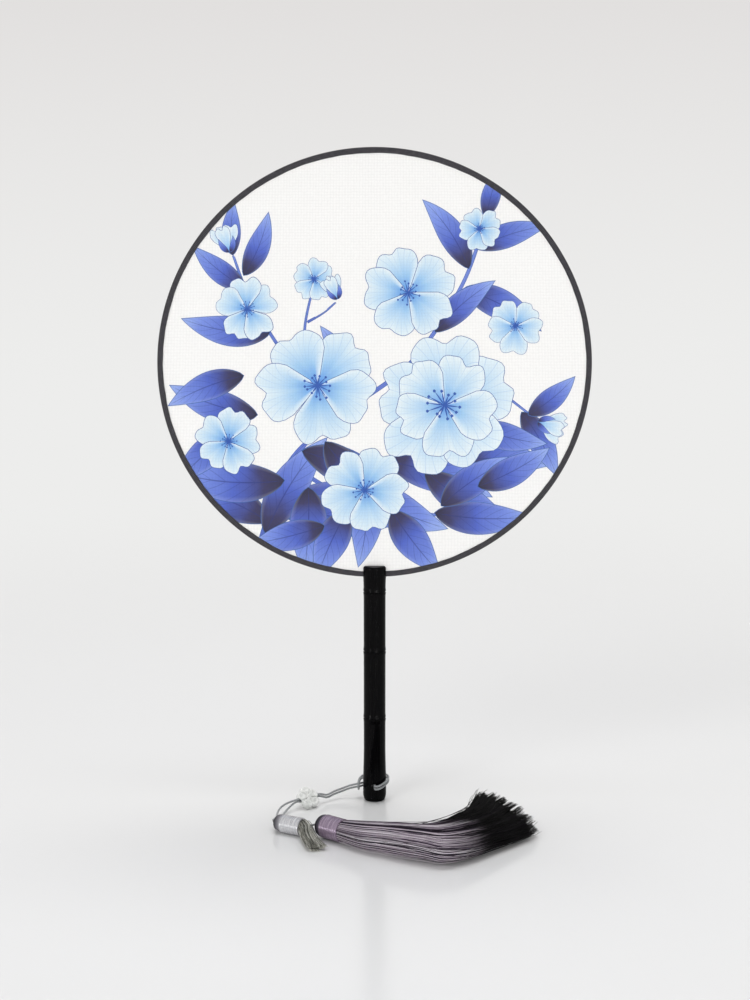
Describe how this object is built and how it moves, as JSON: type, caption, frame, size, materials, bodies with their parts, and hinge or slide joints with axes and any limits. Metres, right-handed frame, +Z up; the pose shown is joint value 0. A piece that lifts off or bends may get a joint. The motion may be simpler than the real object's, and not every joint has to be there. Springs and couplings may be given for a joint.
{
  "type": "round silk hand fan",
  "caption": "Round hand fan: stretched silk in a tape-bound hoop, a turned black handle with node rings, and a grey cord with a flower bead and a two-tier tassel.",
  "frame": {"origin": "centre of the handle's flat foot", "axes": "+Z up the handle to the top of the hoop, -Y out of the silk's front, +X to the right of the front; the tassel lies on the plane z = 0 in front of the handle"},
  "size_m": [0.26, 0.1375, 0.402],
  "materials": {
    "bamboo": "plain bamboo strip",
    "silk": "thin plain-woven silk, printed",
    "edging_tape": "black woven tape",
    "lacquered_wood": "black lacquer, glossy",
    "grey_cord": "twisted satin cord",
    "pale_jade": "polished, translucent",
    "dark_knot": "tight cord knot",
    "grey_yarn": "fine satin yarn",
    "silver_winding": "satin thread, wound",
    "lilac_grey_yarn": "fine satin yarn, dark towards its cut end",
    "lilac_winding": "satin thread, wound"
  },
  "bodies": {
    "fan": {"hoop_core": "bamboo", "silk_panel": "silk", "edge_binding": "edging_tape", "handle": "lacquered_wood", "hoop_pins": "bamboo", "foot_loop": "grey_cord"},
    "cord": {"cord_strand_a": "grey_cord", "cord_strand_b": "grey_cord"},
    "bead": {"flower_bead": "pale_jade"},
    "upper_tassel": {"upper_knot": "dark_knot", "upper_core": "bamboo", "upper_yarn": "grey_yarn", "upper_band": "silver_winding", "link_cord": "grey_cord"},
    "lower_tassel": {"lower_knot": "dark_knot", "lower_core": "bamboo", "lower_yarn": "lilac_grey_yarn", "lower_band": "lilac_winding"}
  },
  "joints": [
    {"name": "cord_sweep", "type": "hinge", "parent": "fan", "child": "cord", "pos_m": [-0.01, 0.0034, 0.008], "axis": [0, 0, 1], "range_deg": [-40, 40]},
    {"name": "bead_turn", "type": "hinge", "parent": "cord", "child": "bead", "pos_m": [-0.041, -0.015, 0.0057], "axis": [-0.7604, -0.6494, 0], "continuous": true},
    {"name": "upper_tassel_sweep", "type": "hinge", "parent": "cord", "child": "upper_tassel", "pos_m": [-0.0596, -0.0595, 0.0057], "axis": [0, 0, 1], "range_deg": [-70, 15]},
    {"name": "lower_tassel_lift", "type": "hinge", "parent": "upper_tassel", "child": "lower_tassel", "pos_m": [-0.0336, -0.0687, 0.0074], "axis": [-0.6428, -0.766, 0], "range_deg": [0, 60]}
  ]
}
